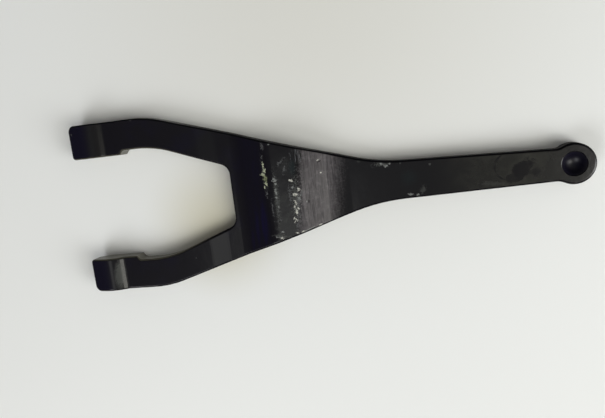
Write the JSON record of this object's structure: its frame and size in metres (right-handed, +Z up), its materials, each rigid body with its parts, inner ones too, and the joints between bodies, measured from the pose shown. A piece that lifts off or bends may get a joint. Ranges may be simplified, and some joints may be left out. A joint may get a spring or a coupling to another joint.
{
  "type": "clutch release fork",
  "caption": "Forged lever with two tines for a release bearing, a raised hump, and an eye with a blind push-rod socket.",
  "frame": {"origin": "under the middle of the bounding box, on the surface that the fork lies on", "axes": "+X along the lever towards the eye, +Y across the tines, +Z up out of the push-rod socket"},
  "size_m": [0.3, 0.106, 0.0142],
  "materials": {
    "black_paint": "glossy black paint over a steel forging, chipped on the hump"
  },
  "bodies": {
    "root": {"release_fork": "black_paint"}
  },
  "joints": []
}
